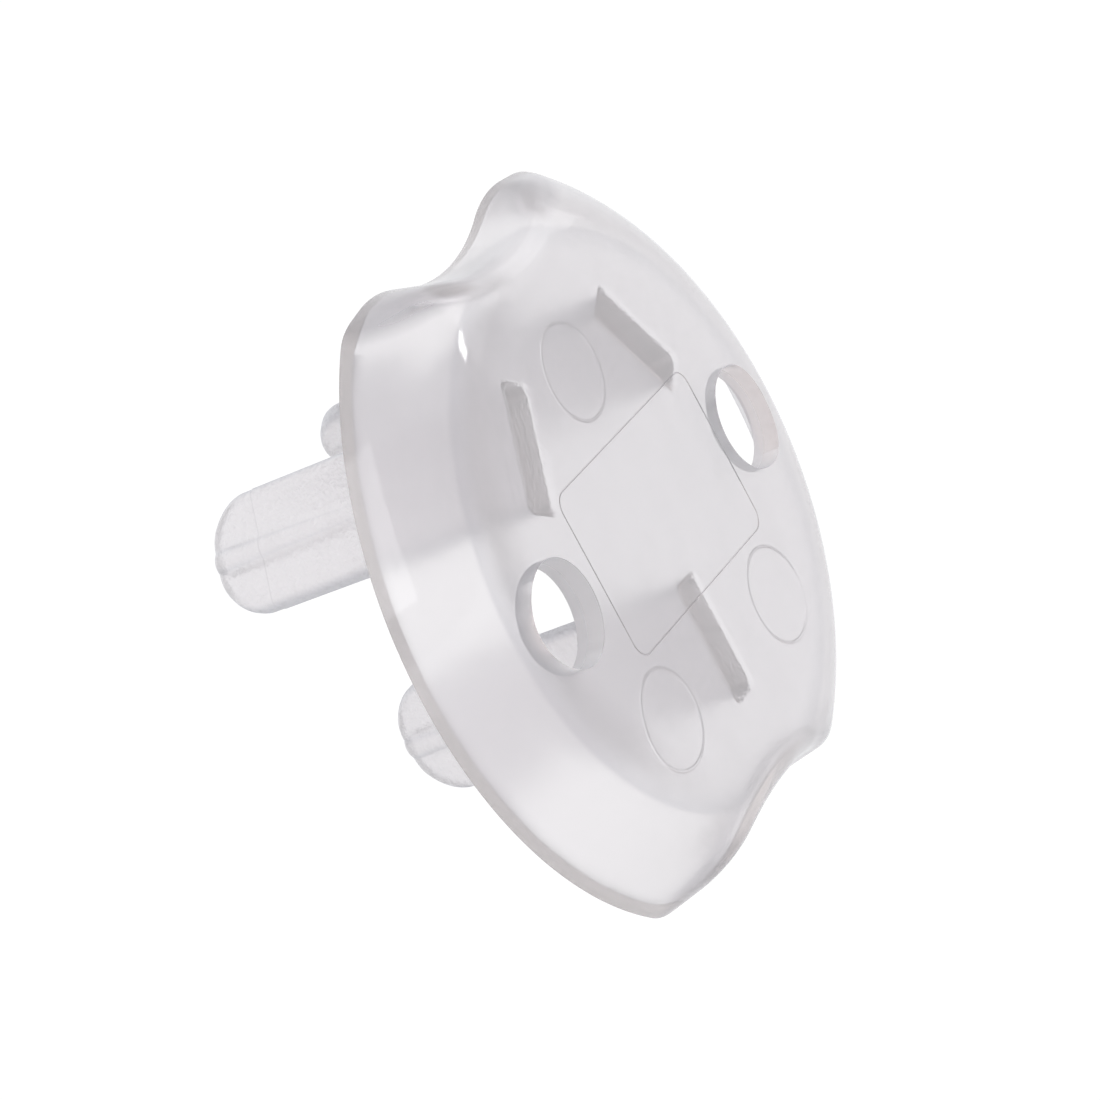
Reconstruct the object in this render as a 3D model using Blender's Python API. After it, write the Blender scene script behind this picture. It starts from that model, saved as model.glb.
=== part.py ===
"""Outlet safety cover for a three-pin wall socket with two slanted flat pins and an earth pin.

One moulding: a shallow round cover with a flat face and a crowned skirt that flares to the wall,
a finger scoop between two rounded lobes at its top and at its bottom, two round holes through the
face, and three ribbed flat pins behind it.

Frame: the cover as it stands in a wall socket. X is to the right seen from the room, Z is up,
and Y goes into the wall. The origin is the centre of the rim's seating plane.
"""
import math

import bmesh
import bpy
from mathutils import Matrix, Vector

MM = 0.001

# Cover
RIM_RADIUS = 19.94 * MM
COVER_DEPTH = 4.46 * MM
CROWN_RADIUS = 8.31 * MM
PLATE_THICKNESS = 1.65 * MM
RIM_WALL = 1.05 * MM
HOLLOW_INSET = 3.69 * MM
CEILING_FILLET = 0.8 * MM

# Lobes beside the finger scoops: arcs in plan that run on straight to a blunt corner at the rim
LOBE_RADIUS = 7.72 * MM
LOBE_INSET = 0.14 * MM
LOBE_ANGLE = math.radians(39.1)
LOBE_DRAFT = math.radians(13.8)
LOBE_RELEASE = math.radians(7.0)
LOBE_EDGE_BLEND = 0.45 * MM

# Finger scoops
SCOOP_RADIUS = 11.8 * MM
SCOOP_DRAFT = math.radians(5.0)
SCOOP_EDGE_BLEND = 1.1 * MM

# Holes through the face, left and right
HOLE_RADIUS = 2.83 * MM
HOLE_MARGIN = 0.55 * MM

# Pin places of the socket standard, from the centre of its pin circle
PIN_SIDE = 6.86 * MM
PIN_RISE = 3.96 * MM
EARTH_PIN_DROP = 10.31 * MM
PIN_LEAN = math.radians(30.0)

# Pins
PIN_WIDTH = 6.35 * MM
PIN_LENGTH = 18.8 * MM
PIN_THICKNESS = 1.86 * MM
PIN_TIP_THICKNESS = 1.34 * MM
PIN_FULL_LENGTH = 6.0 * MM
PIN_TIP_DEPTH = 2.6 * MM
PIN_EDGE_RADIUS = 0.5 * MM
PIN_RIB_RADIUS = 0.95 * MM
PIN_ROOT_FLARE = 0.18 * MM
PIN_END_TURN = math.radians(77.0)
PIN_END_THINNING = 0.8

# Facets
RING_POINTS = 176
RING_CROWDING = 0.2
OUTER_STEPS = 12
INNER_STEPS = 8
HOLE_SEGMENTS = 40
TIP_STEPS = 6
EDGE_POINTS = 3
RIB_POINTS = 5
SEARCH_STEPS = 36

SHARP_ANGLE = math.radians(40.0)
PLASTIC_COLOUR = (0.80, 0.78, 0.82, 1.0)
PLASTIC_ROUGHNESS = 0.3

FACE_RADIUS = RIM_RADIUS - math.sqrt(CROWN_RADIUS ** 2 - (CROWN_RADIUS - COVER_DEPTH) ** 2)
CROWN_CENTRE_HEIGHT = COVER_DEPTH - CROWN_RADIUS
CEILING_HEIGHT = COVER_DEPTH - PLATE_THICKNESS
HOLLOW_MOUTH_RADIUS = RIM_RADIUS - RIM_WALL
HOLLOW_SLOPE = math.atan2(HOLLOW_INSET, CEILING_HEIGHT)
CEILING_RADIUS = HOLLOW_MOUTH_RADIUS - HOLLOW_INSET
HOLE_OFFSET = CEILING_RADIUS - HOLE_MARGIN - HOLE_RADIUS
PIN_ROOT_SINK = PLATE_THICKNESS / 2
LOBE_CENTRE_SIDE = (RIM_RADIUS - LOBE_INSET - LOBE_RADIUS) * math.sin(LOBE_ANGLE)
LOBE_CENTRE_RISE = (RIM_RADIUS - LOBE_INSET - LOBE_RADIUS) * math.cos(LOBE_ANGLE)

# The scoop's arc touches both lobe arcs, which sets its centre
SCOOP_CENTRE_RISE = LOBE_CENTRE_RISE + math.sqrt((LOBE_RADIUS + SCOOP_RADIUS) ** 2 - LOBE_CENTRE_SIDE ** 2)
SCOOP_START = math.atan2(-LOBE_CENTRE_SIDE, SCOOP_CENTRE_RISE - LOBE_CENTRE_RISE)


def clear_scene():
    for item in list(bpy.data.objects):
        bpy.data.objects.remove(item, do_unlink=True)


def moulded_plastic():
    """Milky clear plastic with a satin skin."""
    material = bpy.data.materials.new("moulded_plastic")
    material.use_nodes = True
    shader = material.node_tree.nodes["Principled BSDF"]
    shader.inputs["Base Color"].default_value = PLASTIC_COLOUR
    shader.inputs["Roughness"].default_value = PLASTIC_ROUGHNESS
    shader.inputs["Metallic"].default_value = 0.0
    return material


def soft_max(first, second, blend):
    """Larger of two distances, with the corner where they meet rounded over a blend length."""
    overlap = max(blend - abs(first - second), 0.0) / blend
    return max(first, second) + overlap * overlap * blend / 4


def crown_distance(radius, height):
    """Distance outside the flat face and the crowned skirt that leaves it without a crease."""
    if radius < FACE_RADIUS:
        return height - COVER_DEPTH
    return math.hypot(radius - FACE_RADIUS, height - CROWN_CENTRE_HEIGHT) - CROWN_RADIUS


def hollow_distance(radius, height):
    """Distance outside the hollow's sloping side and flat ceiling, with a fillet between them."""
    side = (radius - HOLLOW_MOUTH_RADIUS) * math.cos(HOLLOW_SLOPE) + height * math.sin(HOLLOW_SLOPE)
    return soft_max(side, height - CEILING_HEIGHT, CEILING_FILLET)


def between_scoop_and_lobe(side, scoop, lobe):
    """Value that eases from the scoop's at its middle to the lobe's at its centre and beyond."""
    share = min(side / LOBE_CENTRE_SIDE, 1.0)
    return scoop + (lobe - scoop) * share * share * (3 - 2 * share)


def grip_distance(side, rise, height):
    """Distance outside the walls of the lobes and the scoop, which lean in towards the face."""
    lean = between_scoop_and_lobe(side, math.tan(SCOOP_DRAFT), math.tan(LOBE_DRAFT))
    across = side - LOBE_CENTRE_SIDE
    above = rise - LOBE_CENTRE_RISE
    turn = math.atan2(across, above)
    if turn < SCOOP_START:
        plan = SCOOP_RADIUS - math.hypot(side, rise - SCOOP_CENTRE_RISE)
    elif turn > LOBE_RELEASE:
        plan = across * math.sin(LOBE_RELEASE) + above * math.cos(LOBE_RELEASE) - LOBE_RADIUS
    else:
        plan = math.hypot(across, above) - LOBE_RADIUS
    return plan + height * lean


def outer_distance(side, rise, height):
    """Distance outside the cover's outer skin."""
    crown = crown_distance(math.hypot(side, rise), height)
    blend = between_scoop_and_lobe(side, SCOOP_EDGE_BLEND, LOBE_EDGE_BLEND)
    return soft_max(crown, grip_distance(side, rise, height), blend)


def inner_distance(side, rise, height):
    """Distance outside the hollow behind the cover."""
    hollow = hollow_distance(math.hypot(side, rise), height)
    blend = between_scoop_and_lobe(side, SCOOP_EDGE_BLEND, LOBE_EDGE_BLEND)
    return soft_max(hollow, grip_distance(side, rise, height) + RIM_WALL, blend)


def reach(distance, angle, start, heading):
    """Length of the ray from a start (radius, height) along a heading until it leaves the skin."""
    across = abs(math.cos(angle))
    up = abs(math.sin(angle))
    near = 0.0
    far = RIM_RADIUS
    for _ in range(SEARCH_STEPS):
        middle = (near + far) / 2
        radius = start[0] + middle * heading[0]
        height = start[1] + middle * heading[1]
        if distance(radius * across, radius * up, height) > 0:
            far = middle
        else:
            near = middle
    return near


def skin_rings(mesh, distance, pivot, steps):
    """Rings of vertices over a skin from the rim to its flat, along rays fanned from a pivot."""
    rings = [[] for _ in range(steps + 1)]
    for point in range(RING_POINTS):
        even = 2 * math.pi * point / RING_POINTS
        angle = even + RING_CROWDING * math.sin(2 * even)
        rim = reach(distance, angle, (0.0, 0.0), (1.0, 0.0))
        first = math.atan2(-pivot[1], rim - pivot[0])
        for step, ring in enumerate(rings):
            tilt = first + (math.pi / 2 - first) * step / steps
            heading = (math.cos(tilt), math.sin(tilt))
            length = reach(distance, angle, pivot, heading)
            radius = pivot[0] + length * heading[0]
            height = pivot[1] + length * heading[1]
            place = Vector((radius * math.cos(angle), -height, radius * math.sin(angle)))
            ring.append(mesh.verts.new(place))
    return rings


def join_rings(mesh, rings):
    """Band of faces between each ring and the next."""
    for first, second in zip(rings, rings[1:]):
        count = len(first)
        for index in range(count):
            after = (index + 1) % count
            mesh.faces.new((first[index], second[index], second[after], first[after]))


def finish_mesh(mesh, name):
    mesh.normal_update()
    bmesh.ops.recalc_face_normals(mesh, faces=mesh.faces)
    data = bpy.data.meshes.new(name)
    mesh.to_mesh(data)
    mesh.free()
    item = bpy.data.objects.new(name, data)
    bpy.context.scene.collection.objects.link(item)
    return item


def build_cover():
    """Closed shell: outer skin from the face down to the rim, the rim's flat end, the hollow."""
    mesh = bmesh.new()
    outer = skin_rings(mesh, outer_distance, (FACE_RADIUS, CROWN_CENTRE_HEIGHT), OUTER_STEPS)
    hollow_pivot = (CEILING_RADIUS - 2 * CEILING_HEIGHT, -CEILING_HEIGHT / 2)
    inner = skin_rings(mesh, inner_distance, hollow_pivot, INNER_STEPS)
    join_rings(mesh, outer[::-1] + inner)
    mesh.faces.new(outer[-1])
    mesh.faces.new(inner[-1])
    return finish_mesh(mesh, "socket_cover")


def pin_stations():
    """Depth, width, thickness and rib radius of each section along a pin from root to tip."""
    flared_width = PIN_WIDTH + 2 * PIN_ROOT_FLARE
    flared_thickness = PIN_THICKNESS + 2 * PIN_ROOT_FLARE
    tip_start = PIN_LENGTH - PIN_TIP_DEPTH
    stations = [
        (-PIN_ROOT_SINK, flared_width, flared_thickness, PIN_RIB_RADIUS),
        (0.0, flared_width, flared_thickness, PIN_RIB_RADIUS),
        (2 * PIN_ROOT_FLARE, PIN_WIDTH, PIN_THICKNESS, PIN_RIB_RADIUS),
        (PIN_FULL_LENGTH, PIN_WIDTH, PIN_THICKNESS, PIN_RIB_RADIUS),
    ]
    taper = (PIN_THICKNESS - PIN_TIP_THICKNESS) / (PIN_LENGTH - PIN_FULL_LENGTH)
    for step in range(TIP_STEPS + 1):
        turn = PIN_END_TURN * step / TIP_STEPS
        depth = tip_start + PIN_TIP_DEPTH * math.sin(turn) / math.sin(PIN_END_TURN)
        thickness = PIN_THICKNESS - taper * (depth - PIN_FULL_LENGTH)
        past_edge = max(depth - PIN_LENGTH + PIN_EDGE_RADIUS, 0.0) / PIN_EDGE_RADIUS
        thin = math.sqrt(1 - PIN_END_THINNING * past_edge * past_edge)
        stations.append((depth, PIN_WIDTH * math.cos(turn), thickness * thin, PIN_RIB_RADIUS * thin))
    return stations


def pin_section(width, thickness, rib):
    """One broad side of a pin's section, as places across the width with their half thickness."""
    half = width / 2
    side = thickness / 2
    edge = min(PIN_EDGE_RADIUS, 0.9 * side, 0.5 * half)
    corner = []
    for step in range(EDGE_POINTS + 1):
        turn = math.pi / 2 * step / EDGE_POINTS
        corner.append((-half + edge - edge * math.cos(turn), side - edge + edge * math.sin(turn)))
    rib_half = min(math.sqrt(max(rib * rib - side * side, 0.0)), 0.9 * (half - edge))
    crest = []
    for step in range(RIB_POINTS):
        place = rib_half * (2 * step / (RIB_POINTS - 1) - 1)
        crest.append((place, max(math.sqrt(rib * rib - place * place), side)))
    return corner + crest + [(-place, out) for place, out in reversed(corner)]


def build_pin(name, side, rise, lean):
    """One ribbed pin, lofted from its root inside the plate to its rounded tip."""
    mesh = bmesh.new()
    broad = Vector((math.sin(lean), 0.0, math.cos(lean)))
    thin = Vector((math.cos(lean), 0.0, -math.sin(lean)))
    rings = []
    for depth, width, thickness, rib in pin_stations():
        centre = Vector((side, depth - CEILING_HEIGHT, rise))
        section = pin_section(width, thickness, rib)
        front = [mesh.verts.new(centre + broad * place + thin * out) for place, out in section]
        back = [mesh.verts.new(centre - broad * place - thin * out) for place, out in section]
        rings.append(front + back)
    join_rings(mesh, rings)
    mesh.faces.new(rings[0])
    mesh.faces.new(rings[-1])
    return finish_mesh(mesh, name)


def build_pins():
    """The two slanted pins and the earth pin, centred together on the cover's height."""
    circle_rise = (EARTH_PIN_DROP - PIN_RISE) / 2
    return [
        build_pin("left_pin", -PIN_SIDE, circle_rise + PIN_RISE, PIN_LEAN),
        build_pin("right_pin", PIN_SIDE, circle_rise + PIN_RISE, -PIN_LEAN),
        build_pin("earth_pin", 0.0, circle_rise - EARTH_PIN_DROP, 0.0),
    ]


def build_hole_cutter(name, side):
    """Round bar through the plate where one hole goes."""
    mesh = bmesh.new()
    middle = Vector((side, PLATE_THICKNESS / 2 - COVER_DEPTH, 0.0))
    turn = Matrix.Translation(middle) @ Matrix.Rotation(math.pi / 2, 4, "X")
    bmesh.ops.create_cone(mesh, cap_ends=True, segments=HOLE_SEGMENTS, radius1=HOLE_RADIUS,
                          radius2=HOLE_RADIUS, depth=3 * PLATE_THICKNESS, matrix=turn)
    return finish_mesh(mesh, name)


def combine(target, tool, operation):
    """Boolean of the cover with a hidden wire shape."""
    tool.hide_render = True
    tool.display_type = "WIRE"
    change = target.modifiers.new(tool.name, "BOOLEAN")
    change.operation = operation
    change.solver = "EXACT"
    change.object = tool


def main():
    clear_scene()
    cover = build_cover()
    for pin in build_pins():
        combine(cover, pin, "UNION")
    combine(cover, build_hole_cutter("left_hole", -HOLE_OFFSET), "DIFFERENCE")
    combine(cover, build_hole_cutter("right_hole", HOLE_OFFSET), "DIFFERENCE")
    cover.data.materials.append(moulded_plastic())
    cover.data.shade_smooth()
    cover.data.set_sharp_from_angle(angle=SHARP_ANGLE)


main()
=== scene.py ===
"""The outlet safety cover in its milky-clear plastic, on a white ground.

The moulding is made again on a fine grid from the same forms as the construction: a crowned
shell with finger scoops, its hollow, three ribbed pins, two holes, and the fine lines that the
mould's inserts and ejectors leave on it.
"""

import logging
import math
from collections.abc import Callable, Sequence
from dataclasses import dataclass
from enum import Enum
from typing import TypeAlias

import bmesh
import bpy
import numpy as np
from mathutils import Matrix, Vector


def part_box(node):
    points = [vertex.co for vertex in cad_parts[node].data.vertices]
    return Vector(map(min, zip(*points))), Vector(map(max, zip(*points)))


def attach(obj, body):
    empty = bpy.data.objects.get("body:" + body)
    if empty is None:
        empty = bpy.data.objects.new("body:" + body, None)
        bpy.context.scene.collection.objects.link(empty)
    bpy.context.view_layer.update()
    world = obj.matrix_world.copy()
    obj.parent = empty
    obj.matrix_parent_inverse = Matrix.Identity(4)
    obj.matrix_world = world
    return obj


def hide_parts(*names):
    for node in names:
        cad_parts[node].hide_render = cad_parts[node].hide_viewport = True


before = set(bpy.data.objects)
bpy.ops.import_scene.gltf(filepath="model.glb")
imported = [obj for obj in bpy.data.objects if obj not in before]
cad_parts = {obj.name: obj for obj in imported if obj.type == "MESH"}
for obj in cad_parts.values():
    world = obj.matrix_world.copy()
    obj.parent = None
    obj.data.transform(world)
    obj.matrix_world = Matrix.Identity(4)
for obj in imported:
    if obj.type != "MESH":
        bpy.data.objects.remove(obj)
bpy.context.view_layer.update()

MM = 0.001
NODE = "socket_cover"
SLOT = "clear_plastic"

log = logging.getLogger("cover")

Field: TypeAlias = Callable[[np.ndarray, np.ndarray, np.ndarray], np.ndarray]
Link: TypeAlias = "Value | float | tuple[float, ...]"
Colour: TypeAlias = tuple[float, float, float, float]
Place: TypeAlias = tuple[float, float, float]


class Side(Enum):
    """Parts of the surface, each a share that the mesh keeps at its points."""

    BEHIND = "behind"
    PINS = "pins"
    LINES = "lines"
    SEAT = "seat"
    # share of the painted shade on the lobes' walls
    WALL_SHADE = "walls"
    SLOPE = "slope"
    BORES = "bores"
    NARROW = "narrow"
    TIPS = "tips"


class Cut(Enum):
    """How one closed form changes another."""

    JOIN = "UNION"
    REMOVE = "DIFFERENCE"


class Value:
    """A shader socket that takes part in arithmetic by adding Math nodes."""

    def __init__(self, graph: "ShaderGraph", socket: bpy.types.NodeSocket) -> None:
        """Wrap a socket of a graph."""
        self.graph = graph
        self.socket = socket

    def _math(self, operation: str, first: Link, second: Link) -> "Value":
        """Math node of one operation on two terms."""
        return self.graph.node("ShaderNodeMath", {"operation": operation}, {0: first, 1: second})

    def __add__(self, other: Link) -> "Value":
        """Sum."""
        return self._math("ADD", self, other)

    def __radd__(self, other: Link) -> "Value":
        """Sum from the right."""
        return self._math("ADD", other, self)

    def __sub__(self, other: Link) -> "Value":
        """Difference."""
        return self._math("SUBTRACT", self, other)

    def __rsub__(self, other: Link) -> "Value":
        """Difference from the right."""
        return self._math("SUBTRACT", other, self)

    def __mul__(self, other: Link) -> "Value":
        """Product."""
        return self._math("MULTIPLY", self, other)

    def __rmul__(self, other: Link) -> "Value":
        """Product from the right."""
        return self._math("MULTIPLY", other, self)

    def larger(self, other: Link) -> "Value":
        """Larger of two terms."""
        return self._math("MAXIMUM", self, other)

    def step(self, start: float, end: float) -> "Value":
        """Smooth step from 0 at start to 1 at end."""
        settings = {"interpolation_type": "SMOOTHSTEP"}
        limits = {0: self, 1: start, 2: end, 3: 0.0, 4: 1.0}
        return self.graph.node("ShaderNodeMapRange", settings, limits)


class ShaderGraph:
    """Builds the nodes of one material or of the world."""

    def __init__(self, tree: bpy.types.NodeTree) -> None:
        """Start an empty graph in a node tree."""
        self.tree = tree
        tree.nodes.clear()

    def node(self, kind: str, settings: dict | None = None, sockets: dict | None = None,
             output: int | str = 0) -> Value:
        """Add one node.

        Args:
            kind: Blender's name for the node's type.
            settings: attributes set before the sockets.
            sockets: values or links by the socket's name or number.
            output: the output that is returned.

        Returns:
            The chosen output.
        """
        made = self.tree.nodes.new(kind)
        for name, setting in (settings or {}).items():
            setattr(made, name, setting)
        for name, source in (sockets or {}).items():
            if isinstance(source, Value):
                self.tree.links.new(source.socket, made.inputs[name])
            else:
                made.inputs[name].default_value = source
        return Value(self, made.outputs[output] if made.outputs else None)

    def attribute(self, side: Side) -> Value:
        """Share of a side of the moulding at each point."""
        return self.node("ShaderNodeAttribute", {"attribute_name": side.value}, output="Fac")

    def mix(self, share: Value, first: Value, second: Value) -> Value:
        """Mix of two shaders by a share of the second."""
        return self.node("ShaderNodeMixShader", {}, {0: share, 1: first, 2: second})

    def blend(self, share: Value, first: Link, second: Link) -> Value:
        """Mix of two colours by a share of the second."""
        settings = {"data_type": "RGBA"}
        return self.node("ShaderNodeMix", settings, {0: share, 6: first, 7: second}, output=2)


@dataclass(frozen=True)
class ClearPlastic:
    """Milky-clear soft plastic: glossy outside, satin behind, finely textured pins.

    Tints colour the light that passes, and hazes are shares of milk seen from outside. The wall,
    fillet, line, narrow-side, bore and edge tints are painted shade, and the paler slope tint is
    painted light. Heights and reaches are in millimetres: a reach is the width over which one part
    of the surface turns into the next.
    """

    tint: Colour = (0.905, 0.893, 0.92, 1.0)
    # painted shade on the lobes' walls, where a steeper wall would lie in shade
    wall_shade_tint: Colour = (0.59, 0.58, 0.61, 1.0)
    # painted light: the hollow's slope is paler, as light from behind comes through the skirt
    slope_light_tint: Colour = (0.985, 0.975, 0.985, 1.0)
    # painted shade along the fillet between the hollow's ceiling and its slope
    fillet_shade_tint: Colour = (0.68, 0.68, 0.72, 1.0)
    seat_tint: Colour = (0.9, 0.83, 0.79, 1.0)
    pin_tint: Colour = (0.88, 0.865, 0.89, 1.0)
    # painted shade on the pins' narrow sides, above and below
    narrow_shade_tint: Colour = (0.7, 0.705, 0.75, 1.0)
    # painted shade on the holes' walls, seen from within the plastic
    bore_shade_colour: Colour = (0.2, 0.2, 0.27, 1.0)
    # painted shade in the mould's fine grooves and the pins' witness lines
    line_shade_tint: Colour = (0.42, 0.4, 0.42, 1.0)
    # painted shade that darkens every surface toward its outline
    edge_shade_tint: Colour = (0.6, 0.605, 0.66, 1.0)
    absorbed: Colour = (0.54, 0.45, 0.45, 1.0)
    absorption: float = 106.0
    refraction: float = 1.5
    haze: float = 0.3
    edge_haze: float = 0.35
    bore_haze: float = 0.45
    bore_shade: float = 0.7
    pin_haze: float = 0.25
    pin_edge_haze: float = 0.35
    tip_haze: float = 0.35
    seat_frost: float = 0.26
    front_roughness: float = 0.06
    slope_roughness: float = 0.32
    back_roughness: float = 0.4
    pin_roughness: float = 0.28
    slope_reach: float = 0.1
    fillet_reach: float = 0.9
    grain_per_mm: float = 4.0
    grain_height: float = 0.1
    grain_detail: float = 2.0
    ripple_per_mm: float = 0.35
    ripple_height: float = 0.05
    ripple_detail: float = 1.0

    def _noise(self, graph: ShaderGraph, per_mm: float, detail: float) -> Value:
        """Noise with a number of lumps in each millimetre."""
        place = graph.node("ShaderNodeTexCoord", output="Object")
        return graph.node("ShaderNodeTexNoise", {}, {
            "Vector": place, "Scale": per_mm / MM, "Detail": detail})

    def _normal(self, graph: ShaderGraph) -> Value:
        """Fine frosted grain on the pins and a slow ripple all over, as a bump."""
        grain = self._noise(graph, self.grain_per_mm, self.grain_detail) * graph.attribute(Side.PINS)
        ripple = self._noise(graph, self.ripple_per_mm, self.ripple_detail)
        relief = grain * (self.grain_height * MM) + ripple * (self.ripple_height * MM)
        return graph.node("ShaderNodeBump", {}, {"Strength": 1.0, "Distance": 1.0, "Height": relief})

    def _slope(self, graph: ShaderGraph) -> Value:
        """Share of the hollow's sloping side."""
        return graph.attribute(Side.SLOPE).step(-self.slope_reach, self.slope_reach)

    def _slant(self, graph: ShaderGraph) -> Value:
        """Share that grows from 0 where the surface is seen square on to 1 at its outline."""
        facing = graph.node("ShaderNodeLayerWeight", {}, {"Blend": 0.5}, output="Facing")
        return facing * facing

    def _roughness(self, graph: ShaderGraph) -> Value:
        """Roughness of each part of the surface."""
        behind = graph.attribute(Side.BEHIND) * (self.back_roughness - self.front_roughness)
        pins = graph.attribute(Side.PINS) * (self.pin_roughness - self.back_roughness)
        slope = self._slope(graph) * (self.slope_roughness - self.back_roughness)
        return self.front_roughness + behind + pins + slope

    def _tint(self, graph: ShaderGraph) -> Value:
        """Tint of each part of the surface, with painted shade on the lobes' walls, the fillet, the
        grooves, the pins' narrow sides and toward each outline, and painted light on the slope.
        """
        lines = graph.attribute(Side.LINES)
        slope = self._slope(graph)
        # share of the painted shade along the fillet, off the slope itself
        fillet = graph.attribute(Side.SLOPE).step(-self.fillet_reach, 0.0) * (1 - slope)
        # painted shade in the mould's grooves
        tint = graph.blend(lines, self.tint, self.line_shade_tint)
        # painted light on the hollow's slope, painted shade along the fillet at its edge
        tint = graph.blend(fillet, graph.blend(slope, tint, self.slope_light_tint), self.fillet_shade_tint)
        # painted shade on the lobes' walls
        tint = graph.blend(graph.attribute(Side.WALL_SHADE), tint, self.wall_shade_tint)
        # painted shade in the grooves on the pins
        pins = graph.blend(lines, self.pin_tint, self.line_shade_tint)
        # painted shade on the pins' narrow sides
        pins = graph.blend(graph.attribute(Side.NARROW), pins, self.narrow_shade_tint)
        tint = graph.blend(graph.attribute(Side.PINS), tint, pins)
        slant = self._slant(graph)
        # painted shade toward each outline
        return graph.blend(slant * slant, tint, self.edge_shade_tint)

    def _milk_share(self, graph: ShaderGraph) -> Value:
        """Share of milk seen from outside, larger at a slant, in the holes and on the pins."""
        pins = graph.attribute(Side.PINS)
        edges = self._slant(graph) * (pins * self.pin_edge_haze + self.edge_haze)
        bores = graph.attribute(Side.BORES) * self.bore_haze
        return edges + bores + pins * self.pin_haze + graph.attribute(Side.TIPS) * self.tip_haze

    def _skin(self, graph: ShaderGraph, tint: Link, roughness: Link, clearness: float,
              normal: Value) -> Value:
        """Surface that lets a share of the light through."""
        return graph.node("ShaderNodeBsdfPrincipled", {}, {
            "Base Color": tint, "Roughness": roughness, "IOR": self.refraction,
            "Transmission Weight": clearness, "Normal": normal})

    def _outside(self, graph: ShaderGraph, tint: Value, normal: Value) -> Value:
        """Surface where a ray meets the plastic from the air."""
        clear = self._skin(graph, tint, self._roughness(graph), 1 - self.haze, normal)
        milk = self._skin(graph, tint, self.back_roughness, 0.0, normal)
        return graph.mix(self._milk_share(graph), clear, milk)

    def _inside(self, graph: ShaderGraph, tint: Value, normal: Value) -> Value:
        """Surface where a ray meets it from within: painted shade on the holes' walls, frosted at the
        seat.
        """
        seat = graph.attribute(Side.SEAT)
        colour = graph.blend(seat, tint, self.seat_tint)
        clear = self._skin(graph, colour, self._roughness(graph), 1.0, normal)
        # painted shade: a dark surface on the holes' walls
        shade = self._skin(graph, self.bore_shade_colour, self.back_roughness, 0.0, normal)
        clear = graph.mix(graph.attribute(Side.BORES) * self.bore_shade, clear, shade)
        frost = graph.node("ShaderNodeBsdfTranslucent", {}, {"Color": self.seat_tint, "Normal": normal})
        return graph.mix(seat * self.seat_frost, clear, frost)

    def material(self) -> bpy.types.Material:
        """Make the plastic.

        Returns:
            The material.
        """
        made = bpy.data.materials.new(SLOT)
        made.use_nodes = True
        graph = ShaderGraph(made.node_tree)
        normal = self._normal(graph)
        tint = self._tint(graph)
        within = graph.node("ShaderNodeNewGeometry", output="Backfacing")
        outside = self._outside(graph, tint, normal)
        surface = graph.mix(within, outside, self._inside(graph, tint, normal))
        volume = graph.node("ShaderNodeVolumeAbsorption", {}, {
            "Color": self.absorbed, "Density": self.absorption})
        graph.node("ShaderNodeOutputMaterial", {}, {"Surface": surface, "Volume": volume})
        return made


def mesh_object(name: str, vertices: np.ndarray, faces: Sequence[Sequence[int]]) -> bpy.types.Object:
    """Make a closed mesh with its faces pointing out.

    Args:
        name: the object's name.
        vertices: places in metres, one row each.
        faces: vertex numbers of each face.

    Returns:
        The object, in the scene.
    """
    data = bpy.data.meshes.new(name)
    data.from_pydata(vertices.tolist(), [], faces)
    work = bmesh.new()
    work.from_mesh(data)
    bmesh.ops.recalc_face_normals(work, faces=work.faces)
    work.to_mesh(data)
    work.free()
    made = bpy.data.objects.new(name, data)
    bpy.context.scene.collection.objects.link(made)
    return made


def bands(rings: int, points: int, first: int = 0) -> list[tuple[int, int, int, int]]:
    """Four-sided faces between consecutive closed rings of vertices.

    Args:
        rings: how many rings there are.
        points: vertices in each ring.
        first: number of the first vertex.

    Returns:
        The faces.
    """
    faces = []
    for ring in range(rings - 1):
        near = first + ring * points
        far = near + points
        for point in range(points):
            after = (point + 1) % points
            faces.append((near + point, far + point, far + after, near + after))
    return faces


def soft_max(first: np.ndarray, second: np.ndarray, blend: float) -> np.ndarray:
    """Larger of two distances, its corner rounded over a blend length."""
    overlap = np.maximum(blend - np.abs(first - second), 0.0) / blend
    return np.maximum(first, second) + overlap * overlap * blend / 4


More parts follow.
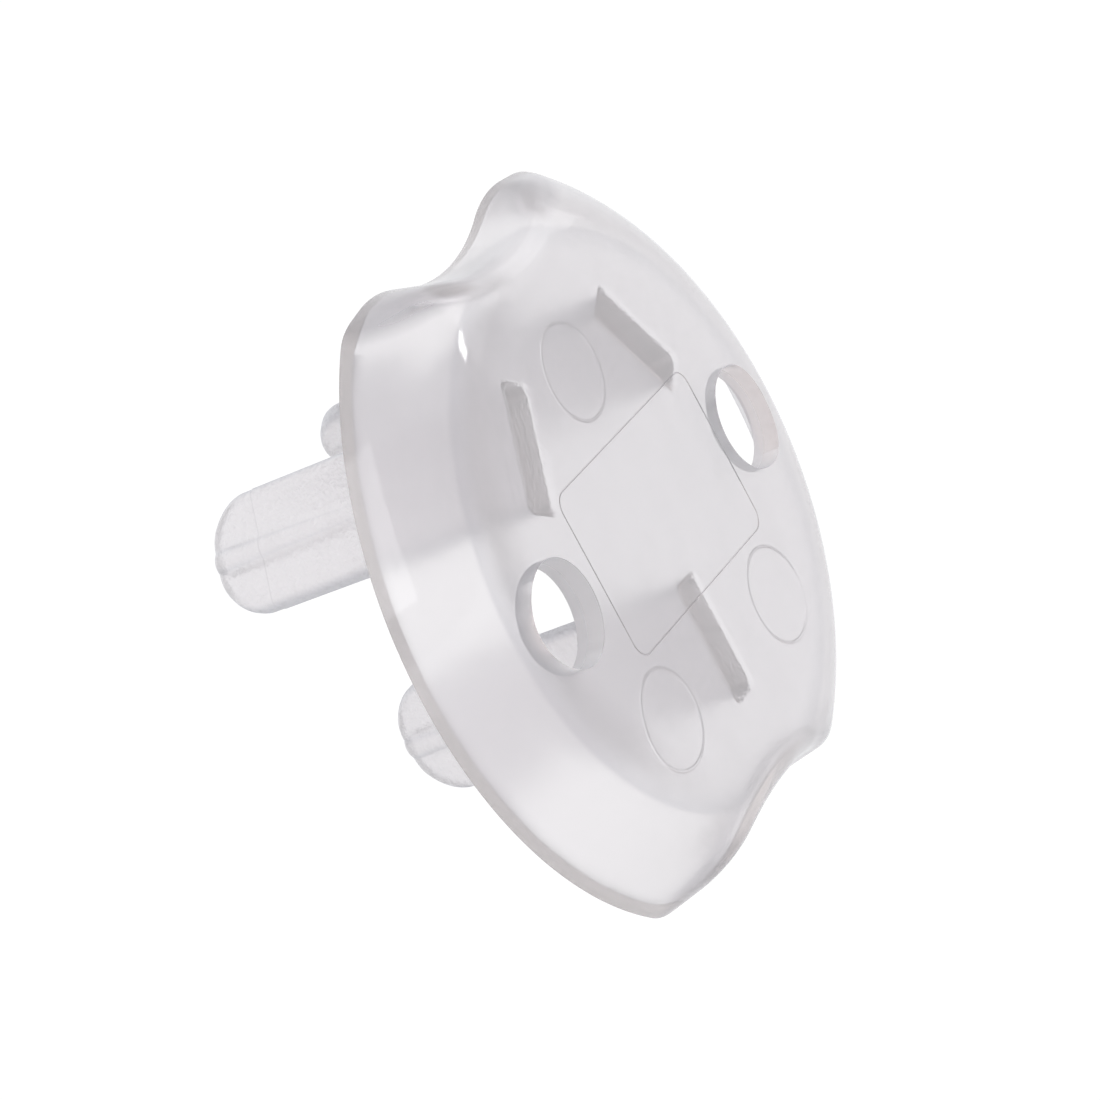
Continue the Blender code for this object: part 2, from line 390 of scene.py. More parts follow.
@dataclass
class FingerGrip:
    """Walls of the finger scoops and of the lobes beside them, the same above and below."""

    rim_radius: float
    lobe_radius: float = 7.72 * MM
    lobe_inset: float = 0.14 * MM
    lobe_angle: float = math.radians(39.1)
    lobe_draft: float = math.radians(13.8)
    lobe_release: float = math.radians(7.0)
    lobe_edge_blend: float = 0.45 * MM
    scoop_radius: float = 11.8 * MM
    scoop_draft: float = math.radians(5.0)
    scoop_edge_blend: float = 1.1 * MM

    def __post_init__(self) -> None:
        """Work out where the arcs of the lobes and of the scoop stand."""
        reach = self.rim_radius - self.lobe_inset - self.lobe_radius
        self.lobe_side = reach * math.sin(self.lobe_angle)
        self.lobe_rise = reach * math.cos(self.lobe_angle)
        self.span = math.sqrt((self.lobe_radius + self.scoop_radius) ** 2 - self.lobe_side ** 2)

    def between(self, side: np.ndarray, scoop: float, lobe: float) -> np.ndarray:
        """Value that eases from the scoop's at its middle to the lobe's at its centre and beyond."""
        share = np.minimum(side / self.lobe_side, 1.0)
        return scoop + (lobe - scoop) * share * share * (3 - 2 * share)

    def edge_blend(self, side: np.ndarray) -> np.ndarray:
        """Blend length of the edge between the grip's walls and the skirt."""
        return self.between(side, self.scoop_edge_blend, self.lobe_edge_blend)

    def distance(self, side: np.ndarray, rise: np.ndarray, height: np.ndarray) -> np.ndarray:
        """Distance outside the walls.

        Args:
            side: distances to the side of the upright, never negative.
            rise: distances above the level through the centre, never negative.
            height: heights over the rim.

        Returns:
            Distances, positive outside.
        """
        lean = self.between(side, math.tan(self.scoop_draft), math.tan(self.lobe_draft))
        across = side - self.lobe_side
        above = rise - self.lobe_rise
        turn = np.arctan2(across, above)
        scoop = self.scoop_radius - np.hypot(side, above - self.span)
        flat = across * math.sin(self.lobe_release) + above * math.cos(self.lobe_release)
        lobe = np.where(turn > self.lobe_release, flat, np.hypot(across, above)) - self.lobe_radius
        plan = np.where(turn < math.atan2(-self.lobe_side, self.span), scoop, lobe)
        return plan + height * lean


@dataclass
class CoverShell:
    """The cover's plate and skirt: a crowned outer skin over a hollow with sloping sides."""

    rim_radius: float
    depth: float
    crown_radius: float = 8.31 * MM
    plate_thickness: float = 1.65 * MM
    rim_wall: float = 1.05 * MM
    hollow_inset: float = 3.69 * MM
    ceiling_fillet: float = 0.8 * MM
    ring_points: int = 560
    ring_crowding: float = 0.2
    crown_steps: int = 60
    hollow_steps: int = 30
    flat_steps: int = 12
    seat_shares: tuple[float, ...] = (0.04, 0.35, 0.65, 0.96)
    search_steps: int = 40
    hole_radius: float = 2.83 * MM
    hole_margin: float = 0.55 * MM

    def __post_init__(self) -> None:
        """Work out the sizes that follow from the driving ones."""
        self.grip = FingerGrip(self.rim_radius)
        self.crown_centre = self.depth - self.crown_radius
        self.face_radius = self.rim_radius - math.sqrt(self.crown_radius ** 2 - self.crown_centre ** 2)
        self.ceiling_height = self.depth - self.plate_thickness
        self.mouth_radius = self.rim_radius - self.rim_wall
        self.ceiling_radius = self.mouth_radius - self.hollow_inset
        self.hole_offset = self.ceiling_radius - self.hole_margin - self.hole_radius

    def crown_distance(self, side: np.ndarray, rise: np.ndarray, height: np.ndarray) -> np.ndarray:
        """Distance outside the crowned skirt and its flat face, without the grips."""
        beyond = np.hypot(side, rise) - self.face_radius
        crown = np.hypot(beyond, height - self.crown_centre) - self.crown_radius
        return np.where(beyond > 0, crown, height - self.depth)

    def outer_distance(self, side: np.ndarray, rise: np.ndarray, height: np.ndarray) -> np.ndarray:
        """Distance outside the outer skin, as the grip's distance takes its places."""
        crown = self.crown_distance(side, rise, height)
        return soft_max(crown, self.grip.distance(side, rise, height), self.grip.edge_blend(side))

    def slope_distance(self, side: np.ndarray, rise: np.ndarray, height: np.ndarray) -> np.ndarray:
        """Distance outside the hollow's sloping side, without its ceiling and the grips."""
        slope = math.atan2(self.hollow_inset, self.ceiling_height)
        beyond = np.hypot(side, rise) - self.mouth_radius
        return beyond * math.cos(slope) + height * math.sin(slope)

    def inner_distance(self, side: np.ndarray, rise: np.ndarray, height: np.ndarray) -> np.ndarray:
        """Distance outside the hollow, as the grip's distance takes its places."""
        slope = self.slope_distance(side, rise, height)
        hollow = soft_max(slope, height - self.ceiling_height, self.ceiling_fillet)
        grip = self.grip.distance(side, rise, height) + self.rim_wall
        return soft_max(hollow, grip, self.grip.edge_blend(side))

    def _reach(self, field: Field, angles: np.ndarray, start: tuple[float, float],
               tilt: np.ndarray) -> tuple[np.ndarray, np.ndarray]:
        """Where rays leave a skin.

        Args:
            field: the skin's distance.
            angles: each ray's turn about the cover's axis.
            start: radius and height that the rays start from.
            tilt: each ray's rise from the radius.

        Returns:
            The radius and the height of each point.
        """
        near = np.zeros_like(angles)
        far = np.full_like(angles, self.rim_radius)
        for _ in range(self.search_steps):
            middle = (near + far) / 2
            radius = start[0] + middle * np.cos(tilt)
            height = start[1] + middle * np.sin(tilt)
            side = np.abs(radius * np.cos(angles))
            rise = np.abs(radius * np.sin(angles))
            outside = field(side, rise, height) > 0
            far = np.where(outside, middle, far)
            near = np.where(outside, near, middle)
        return start[0] + near * np.cos(tilt), start[1] + near * np.sin(tilt)

    def _skin(self, field: Field, pivot: tuple[float, float], steps: int) -> list[np.ndarray]:
        """Rings over a skin from the rim to its flat, then over the flat to near its centre.

        Args:
            field: the skin's distance.
            pivot: radius and height that the rays fan out from.
            steps: steps between the rim and the flat.

        Returns:
            Rings of places in metres.
        """
        even = np.linspace(0, 2 * math.pi, self.ring_points, endpoint=False)
        angles = even + self.ring_crowding * np.sin(2 * even)
        level = np.zeros_like(angles)
        rim, _ = self._reach(field, angles, (0.0, 0.0), level)
        first = np.arctan2(-pivot[1], rim - pivot[0])
        rings = []
        for step in range(steps + 1):
            tilt = first + (math.pi / 2 - first) * step / steps
            radius, height = self._reach(field, angles, pivot, tilt)
            rings.append(np.stack([radius * np.cos(angles), -height, radius * np.sin(angles)], axis=1))
        for step in range(1, self.flat_steps):
            share = 1 - step / self.flat_steps
            rings.append(rings[steps] * (share, 1.0, share))
        return rings

    def build(self) -> bpy.types.Object:
        """Make the closed shell.

        Returns:
            The shell without its pins and holes.
        """
        outer = self._skin(self.outer_distance, (self.face_radius, self.crown_centre), self.crown_steps)
        hollow_pivot = (self.ceiling_radius - 2 * self.ceiling_height, -self.ceiling_height / 2)
        inner = self._skin(self.inner_distance, hollow_pivot, self.hollow_steps)
        seat = [outer[0] + (inner[0] - outer[0]) * share for share in self.seat_shares]
        rings = outer[::-1] + seat + inner
        vertices = np.concatenate(rings)
        faces = bands(len(rings), self.ring_points)
        last = len(vertices)
        centres = np.array([[0.0, -self.depth, 0.0], [0.0, -self.ceiling_height, 0.0]])
        for point in range(self.ring_points):
            after = (point + 1) % self.ring_points
            faces.append((last, after, point))
            start = last - self.ring_points
            faces.append((last + 1, start + point, start + after))
        return mesh_object("cover_shell", np.concatenate([vertices, centres]), faces)


@dataclass
class FlatPin:
    """One flat pin with rounded edges, a half-round end and a rib along both broad sides."""

    side: float
    rise: float
    lean: float
    root: float
    reach: float
    sink: float
    width: float = 6.35 * MM
    thickness: float = 1.86 * MM
    tip_thickness: float = 1.34 * MM
    full_length: float = 6.0 * MM
    tip_depth: float = 2.6 * MM
    edge_radius: float = 0.5 * MM
    rib_radius: float = 0.95 * MM
    root_fillet: float = 0.3 * MM
    mould_line: float = 15.6 * MM
    mould_step: float = 0.025 * MM
    mould_rings: tuple[int, ...] = (-3, -1, 1, 3)
    end_turn: float = math.radians(84.0)
    end_thinning: float = 0.97
    edge_limit: float = 0.9
    corner_limit: float = 0.5
    fillet_steps: int = 6
    shank_steps: int = 14
    tip_steps: int = 26
    corner_points: int = 8
    flat_points: int = 5
    rib_points: int = 11

    def _depths(self) -> list[tuple[float, float]]:
        """Depth and narrowing angle of each section from the root to the tip."""
        length = self.reach - self.root
        shoulder = length - self.tip_depth
        shank = [-self.sink, 0.0]
        for step in range(1, self.fillet_steps + 1):
            shank.append(self.root_fillet * step / self.fillet_steps)
        for step in range(1, self.shank_steps):
            shank.append(self.root_fillet + (shoulder - self.root_fillet) * step / self.shank_steps)
        shank.extend(self.mould_line + self.mould_step * place for place in self.mould_rings)
        stations = [(depth, 0.0) for depth in sorted(shank)]
        for step in range(self.tip_steps + 1):
            turn = self.end_turn * step / self.tip_steps
            past = self.tip_depth * math.sin(turn) / math.sin(self.end_turn)
            stations.append((shoulder + past, turn))
        return stations

    def _sizes(self, depth: float, turn: float) -> tuple[float, float, float]:
        """Width, thickness and rib radius of the section at a depth."""
        length = self.reach - self.root
        flare = 0.0
        if depth < self.root_fillet:
            left = self.root_fillet - max(depth, 0.0)
            flare = self.root_fillet - math.sqrt(self.root_fillet ** 2 - left ** 2)
        taper = max(depth - self.full_length, 0.0) / (length - self.full_length)
        thickness = self.thickness + (self.tip_thickness - self.thickness) * taper + 2 * flare
        past = max(depth - length + self.edge_radius, 0.0) / self.edge_radius
        thin = math.sqrt(1 - self.end_thinning * past * past)
        step = self.mould_step if depth > self.mould_line else 0.0
        width = (self.width - 2 * step) * math.cos(turn) + 2 * flare
        return width, thickness * thin - 2 * step, (self.rib_radius - step) * thin

    def _section(self, width: float, thickness: float, rib: float) -> list[tuple[float, float]]:
        """One broad side of a section as places across the width with their half thickness."""
        half = width / 2
        side = thickness / 2
        edge = min(self.edge_radius, self.edge_limit * side, self.corner_limit * half)
        corner = []
        for step in range(self.corner_points + 1):
            turn = math.pi / 2 * step / self.corner_points
            corner.append((-half + edge - edge * math.cos(turn), side - edge + edge * math.sin(turn)))
        crest = math.sqrt(max(rib * rib - side * side, 0.0))
        crest = min(crest, self.edge_limit * (half - edge))
        flat = []
        for step in range(1, self.flat_points):
            share = step / self.flat_points
            flat.append((-half + edge + (half - edge - crest) * share, side))
        middle = []
        for step in range(self.rib_points):
            place = crest * (2 * step / (self.rib_points - 1) - 1)
            middle.append((place, max(math.sqrt(max(rib * rib - place * place, 0.0)), side)))
        left = corner + flat
        return left + middle + [(-place, out) for place, out in reversed(left)]

    def build(self, name: str) -> bpy.types.Object:
        """Loft the pin from inside the plate to its tip.

        Args:
            name: the object's name.

        Returns:
            The closed pin.
        """
        broad = np.array([math.sin(self.lean), 0.0, math.cos(self.lean)])
        thin = np.array([math.cos(self.lean), 0.0, -math.sin(self.lean)])
        rings = []
        for depth, turn in self._depths():
            centre = np.array([self.side, self.root + depth, self.rise])
            section = self._section(*self._sizes(depth, turn))
            front = [centre + broad * place + thin * out for place, out in section]
            back = [centre - broad * place - thin * out for place, out in section]
            rings.append(np.array(front + back))
        points = len(rings[0])
        faces = bands(len(rings), points)
        faces.append(tuple(range(points)))
        faces.append(tuple(range((len(rings) - 1) * points, len(rings) * points)))
        return mesh_object(name, np.concatenate(rings), faces)


@dataclass
class RoundHole:
    """A round hole through the plate."""

    side: float
    radius: float
    front: float
    back: float
    margin: float = 0.05 * MM
    segments: int = 96

    def build(self, name: str) -> bpy.types.Object:
        """Make the round bar that cuts the hole, with rings just inside the plate's two faces.

        Args:
            name: the object's name.

        Returns:
            The bar.
        """
        thickness = self.back - self.front
        levels = [self.front - thickness, self.front + self.margin, self.back - self.margin,
                  self.back + thickness]
        turns = np.linspace(0, 2 * math.pi, self.segments, endpoint=False)
        rings = []
        for level in levels:
            across = self.side + self.radius * np.cos(turns)
            up = self.radius * np.sin(turns)
            rings.append(np.stack([across, np.full_like(turns, level), up], axis=1))
        faces = bands(len(rings), self.segments)
        faces.append(tuple(range(self.segments)))
        faces.append(tuple(range((len(rings) - 1) * self.segments, len(rings) * self.segments)))
        return mesh_object(name, np.concatenate(rings), faces)


class LineTree:
    """Geometry Nodes that lay a thin round wire along closed paths and repeat it at points."""

    def __init__(self, name: str) -> None:
        """Start an empty tree with its geometry sockets."""
        self.tree = bpy.data.node_groups.new(name, "GeometryNodeTree")
        self.tree.interface.new_socket("Geometry", in_out="INPUT", socket_type="NodeSocketGeometry")
        self.tree.interface.new_socket("Geometry", in_out="OUTPUT", socket_type="NodeSocketGeometry")
        self.start = self.tree.nodes.new("NodeGroupInput")
        self.values: dict[str, float] = {}

    def size(self, name: str, value: float) -> bpy.types.NodeSocket:
        """Add a named input size.

        Args:
            name: the input's name.
            value: its value, in metres.

        Returns:
            The socket that gives it.
        """
        self.tree.interface.new_socket(name, in_out="INPUT", socket_type="NodeSocketFloat")
        self.values[name] = value
        return self.start.outputs[name]

    def node(self, kind: str, settings: dict | None = None,
             sockets: dict | None = None) -> bpy.types.NodeSocket:
        """Add one node.

        Args:
            kind: Blender's name for the node's type.
            settings: attributes set before the sockets.
            sockets: values or links by the socket's name or number.

        Returns:
            The node's first output.
        """
        made = self.tree.nodes.new(kind)
        for name, setting in (settings or {}).items():
            setattr(made, name, setting)
        for name, source in (sockets or {}).items():
            if isinstance(source, bpy.types.NodeSocket):
                self.tree.links.new(source, made.inputs[name])
            else:
                made.inputs[name].default_value = source
        return made.outputs[0]

    def run(self, name: str, points: Sequence[Place], material: bpy.types.Material,
            result: bpy.types.NodeSocket) -> bpy.types.Object:
        """Run the tree on points and keep its mesh.

        Args:
            name: the object's name.
            points: the points that the tree repeats its line at.
            material: the lines' material.
            result: the tree's last geometry.

        Returns:
            A plain mesh object.
        """
        whole = self.node("GeometryNodeRealizeInstances", sockets={0: result})
        dressed = self.node("GeometryNodeSetMaterial", sockets={0: whole, "Material": material})
        end = self.tree.nodes.new("NodeGroupOutput")
        self.tree.links.new(dressed, end.inputs[0])
        data = bpy.data.meshes.new(name + "_points")
        data.from_pydata(points, [], [])
        base = bpy.data.objects.new(name + "_points", data)
        bpy.context.scene.collection.objects.link(base)
        change = base.modifiers.new("lines", "NODES")
        change.node_group = self.tree
        for item in self.tree.interface.items_tree:
            if item.item_type == "SOCKET" and item.name in self.values:
                change[item.identifier] = self.values[item.name]
        made = plain_mesh(base, name)
        bpy.data.objects.remove(base, do_unlink=True)
        return made


def plain_mesh(source: bpy.types.Object, name: str) -> bpy.types.Object:
    """Copy an object with its modifiers worked in.

    Args:
        source: the object with modifiers.
        name: the copy's name.

    Returns:
        A plain mesh object.
    """
    bpy.context.view_layer.update()
    graph = bpy.context.evaluated_depsgraph_get()
    data = bpy.data.meshes.new_from_object(source.evaluated_get(graph), depsgraph=graph)
    data.name = name
    made = bpy.data.objects.new(name, data)
    bpy.context.scene.collection.objects.link(made)
    return made


def combine(target: bpy.types.Object, tool: bpy.types.Object, cut: Cut, name: str) -> bpy.types.Object:
    """Join or cut two closed forms and drop them both.

    Args:
        target: the form that is changed.
        tool: the form that changes it.
        cut: how it does.
        name: the result's name.

    Returns:
        The result as a plain mesh object.
    """
    change = target.modifiers.new("cut", "BOOLEAN")
    change.operation = cut.value
    change.solver = "EXACT"
    change.object = tool
    made = plain_mesh(target, name)
    bpy.data.objects.remove(target, do_unlink=True)
    bpy.data.objects.remove(tool, do_unlink=True)
    return made


@dataclass
class MouldMarks:
    """Fine lines that the mould leaves: the plaque's outline in front, ejector rings behind."""

    depth: float
    ceiling_height: float
    plaque_width: float = 16.2 * MM
    plaque_height: float = 9.24 * MM
    plaque_corner: float = 0.9 * MM
    ring_radius: float = 2.59 * MM
    top_ring_rise: float = 8.33 * MM
    low_ring_side: float = 7.13 * MM
    low_ring_drop: float = 8.19 * MM
    plaque_wire: float = 0.05 * MM
    ring_wire: float = 0.095 * MM
    wire_sides: int = 6
    corner_segments: int = 10
    ring_segments: int = 96

    def _wire(self, lines: LineTree, path: bpy.types.NodeSocket, radius: float) -> bpy.types.NodeSocket:
        """Round wire along a path, stood upright on the plate.

        Args:
            lines: the tree.
            path: a flat closed curve.
            radius: the wire's radius.

        Returns:
            The wire at each of the tree's points.
        """
        profile = lines.node("GeometryNodeCurvePrimitiveCircle", {}, {
            "Resolution": self.wire_sides, "Radius": lines.size("Wire radius", radius)})
        wire = lines.node("GeometryNodeCurveToMesh", {}, {0: path, 1: profile})
        return lines.node("GeometryNodeInstanceOnPoints", {}, {
            "Points": lines.start.outputs[0], "Instance": wire, "Rotation": (math.pi / 2, 0.0, 0.0)})

    def plaque_line(self, material: bpy.types.Material) -> bpy.types.Object:
        """Wire round the plaque.

        Args:
            material: the lines' material.

        Returns:
            The wire's mesh.
        """
        lines = LineTree("plaque_line")
        outline = lines.node("GeometryNodeCurvePrimitiveQuadrilateral", {}, {
            "Width": lines.size("Width", self.plaque_width),
            "Height": lines.size("Height", self.plaque_height)})
        rounded = lines.node("GeometryNodeFilletCurve", {"mode": "POLY"}, {
            0: outline, "Count": self.corner_segments,
            "Radius": lines.size("Corner", self.plaque_corner)})
        wire = self._wire(lines, rounded, self.plaque_wire)
        return lines.run("plaque_line", [(0.0, -self.depth, 0.0)], material, wire)

    def ejector_rings(self, material: bpy.types.Material) -> bpy.types.Object:
        """Wires round the three ejector marks.

        Args:
            material: the lines' material.

        Returns:
            The wires' mesh.
        """
        lines = LineTree("ejector_rings")
        ring = lines.node("GeometryNodeCurvePrimitiveCircle", {}, {
            "Resolution": self.ring_segments,
            "Radius": lines.size("Ring radius", self.ring_radius)})
        wire = self._wire(lines, ring, self.ring_wire)
        behind = -self.ceiling_height
        places = [
            (0.0, behind, self.top_ring_rise),
            (-self.low_ring_side, behind, -self.low_ring_drop),
            (self.low_ring_side, behind, -self.low_ring_drop),
        ]
        return lines.run("ejector_rings", places, material, wire)


@dataclass
class SurfaceMap:
    """Works out, from the distances to the forms, which parts of the surface a point belongs to.

    Depths say how far under both skins a point lies when it belongs to a cut and not to a skin.
    The witness line's half width counts steps of the mould. The painted shade of the lobes' walls
    starts at a share of the lobes' distance from the upright, and its edge leans more than the walls
    do.
    """

    shell: CoverShell
    pins: Sequence[FlatPin]
    seat_height: float = 0.002 * MM
    line_depth: float = 0.004 * MM
    cut_depth: float = 0.01 * MM
    bore_width: float = 0.02 * MM
    bore_guard: float = 0.1 * MM
    pin_depth: float = 0.03 * MM
    line_width: float = 1.5
    faint_line: float = 0.22
    narrow_start: float = 0.25
    narrow_gain: float = 1.6
    wall_start: float = 0.45
    wall_span: float = 0.5
    wall_lean: float = 0.26
    wall_blend: float = 0.5 * MM
    wall_offset: float = 0.8
    off_slope: float = -9.0

    def _pin_sides(self, places: np.ndarray, normals: np.ndarray,
                   on_pins: np.ndarray) -> tuple[np.ndarray, np.ndarray]:
        """Share of the pins' narrow sides, and whether a point is on a witness line."""
        across, into, up = places
        narrow = np.zeros_like(into)
        witness = np.zeros_like(on_pins)
        for pin in self.pins:
            near = on_pins & (np.hypot(across - pin.side, up - pin.rise) < pin.width)
            turned = np.abs(normals[0] * math.sin(pin.lean) + normals[2] * math.cos(pin.lean))
            share = np.clip(self.narrow_gain * (turned - self.narrow_start), 0.0, 1.0)
            narrow = np.where(near, share, narrow)
            away = np.abs(into - pin.root - pin.mould_line)
            witness |= near & (away < self.line_width * pin.mould_step)
        return narrow, witness

    def _lobe_wall_shade(self, side: np.ndarray, rise: np.ndarray, height: np.ndarray,
                    behind: np.ndarray) -> np.ndarray:
        """Share of the painted shade on the lobes' walls, on the outer skin and in the hollow."""
        beside = (side / self.shell.grip.lobe_side - self.wall_start) / self.wall_span
        beside = np.clip(beside, 0.0, 1.0)
        grip = self.shell.grip.distance(side, rise, height) + height * self.wall_lean * beside
        hollow = self.shell.slope_distance(side, rise, height) - self.shell.rim_wall
        skin = np.where(behind, hollow, self.shell.crown_distance(side, rise, height))
        return np.clip((grip - skin) / self.wall_blend + self.wall_offset, 0.0, 1.0) * beside

    def mark(self, body: bpy.types.Object) -> None:
        """Keep the shares on the moulding's points.

        Args:
            body: the moulding.
        """
        places, normals = np.empty((2, len(body.data.vertices) * 3))
        body.data.vertices.foreach_get("co", places)
        body.data.vertices.foreach_get("normal", normals)
        places = places.reshape(-1, 3).T
        side, into, rise = np.abs(places[0]), places[1], np.abs(places[2])
        outer = self.shell.outer_distance(side, rise, -into)
        inner = self.shell.inner_distance(side, rise, -into)
        under = np.minimum(-outer, inner)
        seat = (into > -self.seat_height) & (under > self.cut_depth)
        behind = (np.abs(inner) < np.abs(outer)) | seat
        pins = (inner < -self.pin_depth) & (into > self.pin_depth - self.shell.ceiling_height)
        narrow, witness = self._pin_sides(places, normals.reshape(-1, 3).T, pins)
        bore = np.hypot(side - self.shell.hole_offset, rise) - self.shell.hole_radius
        lines = (under > self.line_depth) & (np.hypot(side, rise) < self.shell.face_radius)
        lines = (lines & (bore > self.bore_guard)) | witness
        slope = self.shell.slope_distance(side, rise, -into) + into + self.shell.ceiling_height
        tips = (into - self.pins[0].reach) / self.pins[0].tip_depth + 1.0
        marks = {
            Side.BEHIND: behind | pins,
            Side.PINS: pins,
            Side.LINES: lines * np.where(behind & ~pins, 1.0, self.faint_line),
            Side.SEAT: seat,
            # painted shade on the lobes' walls
            Side.WALL_SHADE: self._lobe_wall_shade(side, rise, -into, behind) * ~pins,
            Side.SLOPE: np.where(behind & ~pins & ~seat, slope / MM, self.off_slope),
            Side.BORES: (np.abs(bore) < self.bore_width) & (under > self.cut_depth),
            Side.NARROW: narrow,
            Side.TIPS: np.clip(tips, 0.0, 1.0) * pins,
        }
        for part, share in marks.items():
            kept = body.data.attributes.new(part.value, "FLOAT", "POINT")
            kept.data.foreach_set("value", share.astype(np.float32))


@dataclass
class SocketCover:
    """The whole moulding."""

    low: Vector
    high: Vector
    pin_side: float = 6.86 * MM
    pin_rise: float = 3.96 * MM
    earth_pin_drop: float = 10.31 * MM
    pin_lean: float = math.radians(30.0)
    sharp_angle: float = math.radians(38.0)

    def _pins(self, shell: CoverShell) -> list[FlatPin]:
        """The three pins, centred together on the cover's height."""
        centre = (self.earth_pin_drop - self.pin_rise) / 2
        root = -shell.ceiling_height
        sink = shell.plate_thickness / 2
        high = centre + self.pin_rise
        return [
            FlatPin(-self.pin_side, high, self.pin_lean, root, self.high.y, sink),
            FlatPin(self.pin_side, high, -self.pin_lean, root, self.high.y, sink),
            FlatPin(0.0, centre - self.earth_pin_drop, 0.0, root, self.high.y, sink),
        ]

    def build(self, finish: ClearPlastic) -> bpy.types.Object:
        """Make and dress the moulding.

        Args:
            finish: its plastic.

        Returns:
            The finished piece.
        """
        shell = CoverShell(self.high.x, -self.low.y)
        material = finish.material()
        body = shell.build()
        flat_pins = self._pins(shell)
        for number, pin in enumerate(flat_pins):
            body = combine(body, pin.build(f"pin_{number}"), Cut.JOIN, "cover_with_pins")
            log.info("pin %d joined", number)
        for side in (-shell.hole_offset, shell.hole_offset):
            hole = RoundHole(side, shell.hole_radius, -shell.depth, -shell.ceiling_height)
            body = combine(body, hole.build("hole"), Cut.REMOVE, "cover_with_holes")
        log.info("holes cut")
        marks = MouldMarks(shell.depth, shell.ceiling_height)
        body = combine(body, marks.plaque_line(material), Cut.REMOVE, "cover_with_plaque")
        body = combine(body, marks.ejector_rings(material), Cut.REMOVE, "cover_moulding")
        log.info("mould marks cut")
        body.data.materials.clear()
        body.data.materials.append(material)
        body.data.polygons.foreach_set("material_index", [0] * len(body.data.polygons))
        SurfaceMap(shell, flat_pins).mark(body)
        body.data.shade_smooth()
        body.data.set_sharp_from_angle(angle=self.sharp_angle)
        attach(body, "root")
        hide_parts(NODE)
        return body


@dataclass(frozen=True)
class Lamp:
    """Upright soft lamp that faces the cover."""

    name: str
    place: Place
    width: float
    height: float
    watts: float

    def build(self) -> None:
        """Set the lamp up."""
        data = bpy.data.lights.new(self.name, "AREA")
        data.shape = "RECTANGLE"
        data.size = self.width
        data.size_y = self.height
        data.energy = self.watts
        made = bpy.data.objects.new(self.name, data)
        made.location = self.place
        made.rotation_euler = (-Vector(self.place)).to_track_quat("-Z", "Y").to_euler()
        bpy.context.scene.collection.objects.link(made)


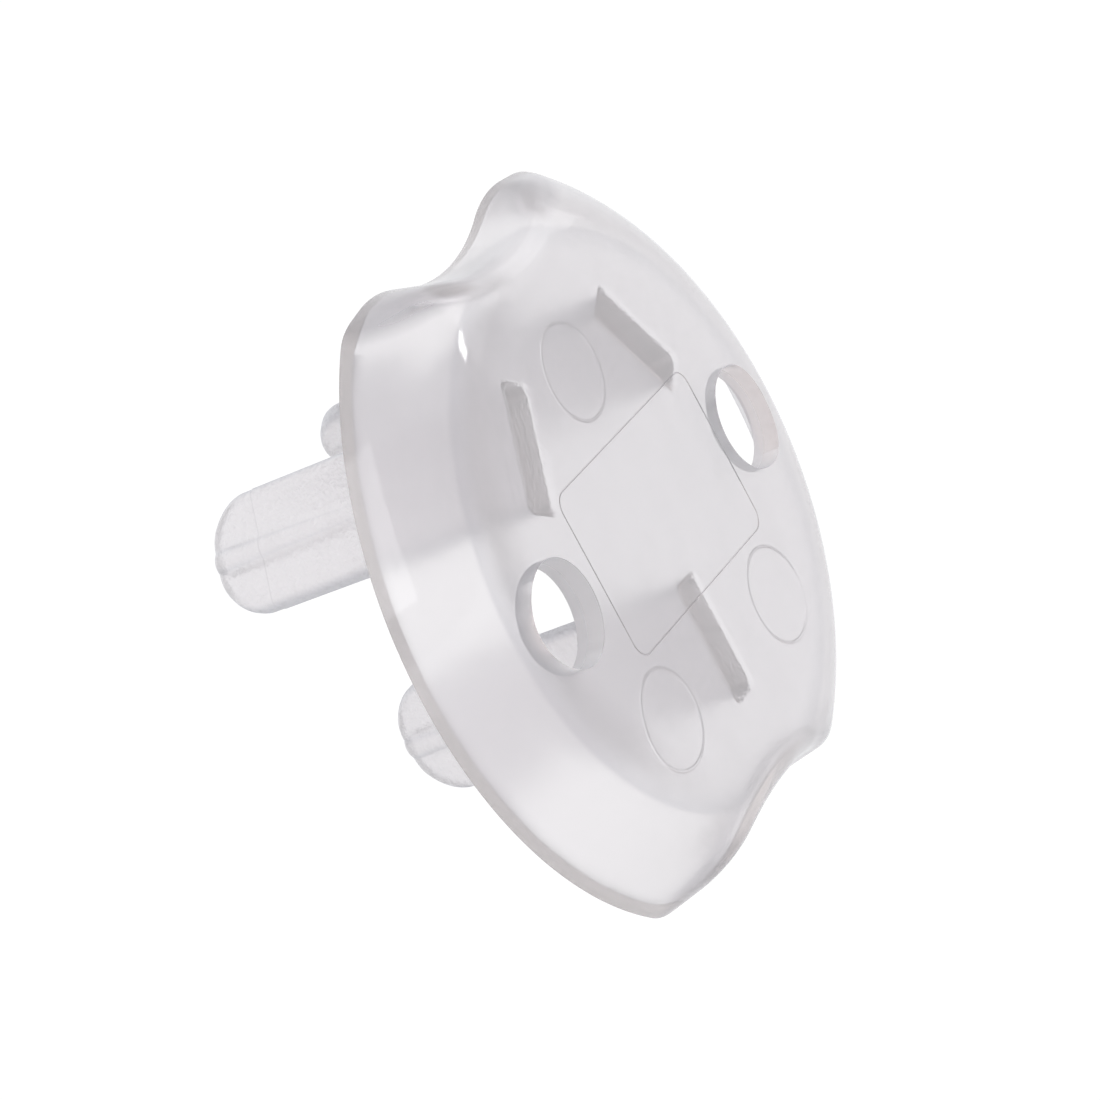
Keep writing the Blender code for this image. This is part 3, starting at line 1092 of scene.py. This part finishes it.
@dataclass
class Studio:
    """White ground, soft lamps and the camera at the photograph's angle."""

    floor_level: float = -55.0 * MM
    floor_radius: float = 3.0
    floor_segments: int = 96
    floor_colour: Colour = (0.86, 0.86, 0.86, 1.0)
    white: Colour = (1.0, 1.0, 1.0, 1.0)
    ground_white: float = 1.15
    ground_glow: float = 0.75
    dim_side: float = 0.5
    dim_reach: float = 0.75
    room_light: float = 0.6
    lamps: tuple[Lamp, ...] = (
        Lamp("key", (-1.2, -0.6, 0.85), 1.2, 1.2, 8.5),
        Lamp("fill", (1.2, -0.7, 0.7), 1.2, 1.2, 3.0),
        Lamp("back", (0.4, 1.3, 0.9), 1.2, 1.2, 3.0),
        Lamp("spark", (0.566, -0.78, 0.267), 0.065, 0.08, 0.22),
    )
    camera_place: Place = (-0.233987, -0.150386, 0.062579)
    camera_right: Place = (0.39353, -0.79254, -0.46584)
    camera_up: Place = (0.42148, -0.29479, 0.85758)
    camera_back: Place = (-0.81700, -0.53383, 0.21804)
    lens: float = 185.0
    sensor: float = 36.0
    nearest: float = 0.01

    def floor(self) -> None:
        """Round white floor that keeps the cover's shadow."""
        work = bmesh.new()
        level = Matrix.Translation((0.0, 0.0, self.floor_level))
        bmesh.ops.create_circle(work, cap_ends=True, segments=self.floor_segments,
                                radius=self.floor_radius, matrix=level)
        data = bpy.data.meshes.new("floor")
        work.to_mesh(data)
        work.free()
        made = bpy.data.objects.new("floor", data)
        bpy.context.scene.collection.objects.link(made)
        material = bpy.data.materials.new("white_ground")
        material.use_nodes = True
        graph = ShaderGraph(material.node_tree)
        looks, bent = self._rays(graph)
        paint = graph.node("ShaderNodeBsdfDiffuse", {}, {"Color": self.floor_colour})
        glow = graph.node("ShaderNodeEmission", {}, {"Strength": self.ground_white})
        both = graph.mix(looks.larger(bent) * self.ground_glow, paint, glow)
        graph.node("ShaderNodeOutputMaterial", {}, {"Surface": both})
        made.data.materials.append(material)

    @staticmethod
    def _rays(graph: ShaderGraph) -> tuple[Value, Value]:
        """1 for the camera's own rays, and 1 for rays that a surface reflects or lets through."""
        looks = graph.node("ShaderNodeLightPath", output="Is Camera Ray")
        outputs = looks.socket.node.outputs
        reflected = Value(graph, outputs["Is Glossy Ray"])
        passed = Value(graph, outputs["Is Transmission Ray"])
        return looks, reflected.larger(passed)

    def world(self) -> None:
        """White surroundings, dimmer behind the camera, as a room is before its white table."""
        made = bpy.data.worlds.new("studio")
        bpy.context.scene.world = made
        made.use_nodes = True
        graph = ShaderGraph(made.node_tree)
        looks, bent = self._rays(graph)
        direction = graph.node("ShaderNodeTexCoord", output="Generated")
        facing = graph.node("ShaderNodeVectorMath", {"operation": "DOT_PRODUCT"},
                            {0: direction, 1: self.camera_back}, output="Value")
        white = 1 - facing.step(0.0, self.dim_reach) * (1 - self.dim_side)
        strength = looks + (1 - looks) * (bent * white + (1 - bent) * self.room_light)
        light = graph.node("ShaderNodeBackground", {}, {"Color": self.white, "Strength": strength})
        graph.node("ShaderNodeOutputWorld", {}, {"Surface": light})

    def camera(self) -> None:
        """Camera at the photograph's place, leaning as it does."""
        data = bpy.data.cameras.new("camera")
        data.lens = self.lens
        data.sensor_width = self.sensor
        data.clip_start = self.nearest
        made = bpy.data.objects.new("camera", data)
        turn = Matrix((self.camera_right, self.camera_up, self.camera_back)).transposed().to_4x4()
        made.matrix_world = Matrix.Translation(self.camera_place) @ turn
        bpy.context.scene.collection.objects.link(made)
        bpy.context.scene.camera = made

    def build(self) -> None:
        """Set up the ground, the light and the camera."""
        self.floor()
        self.world()
        for lamp in self.lamps:
            lamp.build()
        self.camera()
        bpy.context.scene.view_settings.view_transform = "Standard"


def main() -> None:
    """Build the cover and its studio, and report each piece."""
    logging.basicConfig(level=logging.INFO, format="%(name)s: %(message)s")
    low, high = (Vector(corner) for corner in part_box(NODE))
    cover = SocketCover(low, high).build(ClearPlastic())
    log.info("%s has %d faces", cover.name, len(cover.data.polygons))
    Studio().build()
    log.info("studio set")


if __name__ == "__main__":
    main()
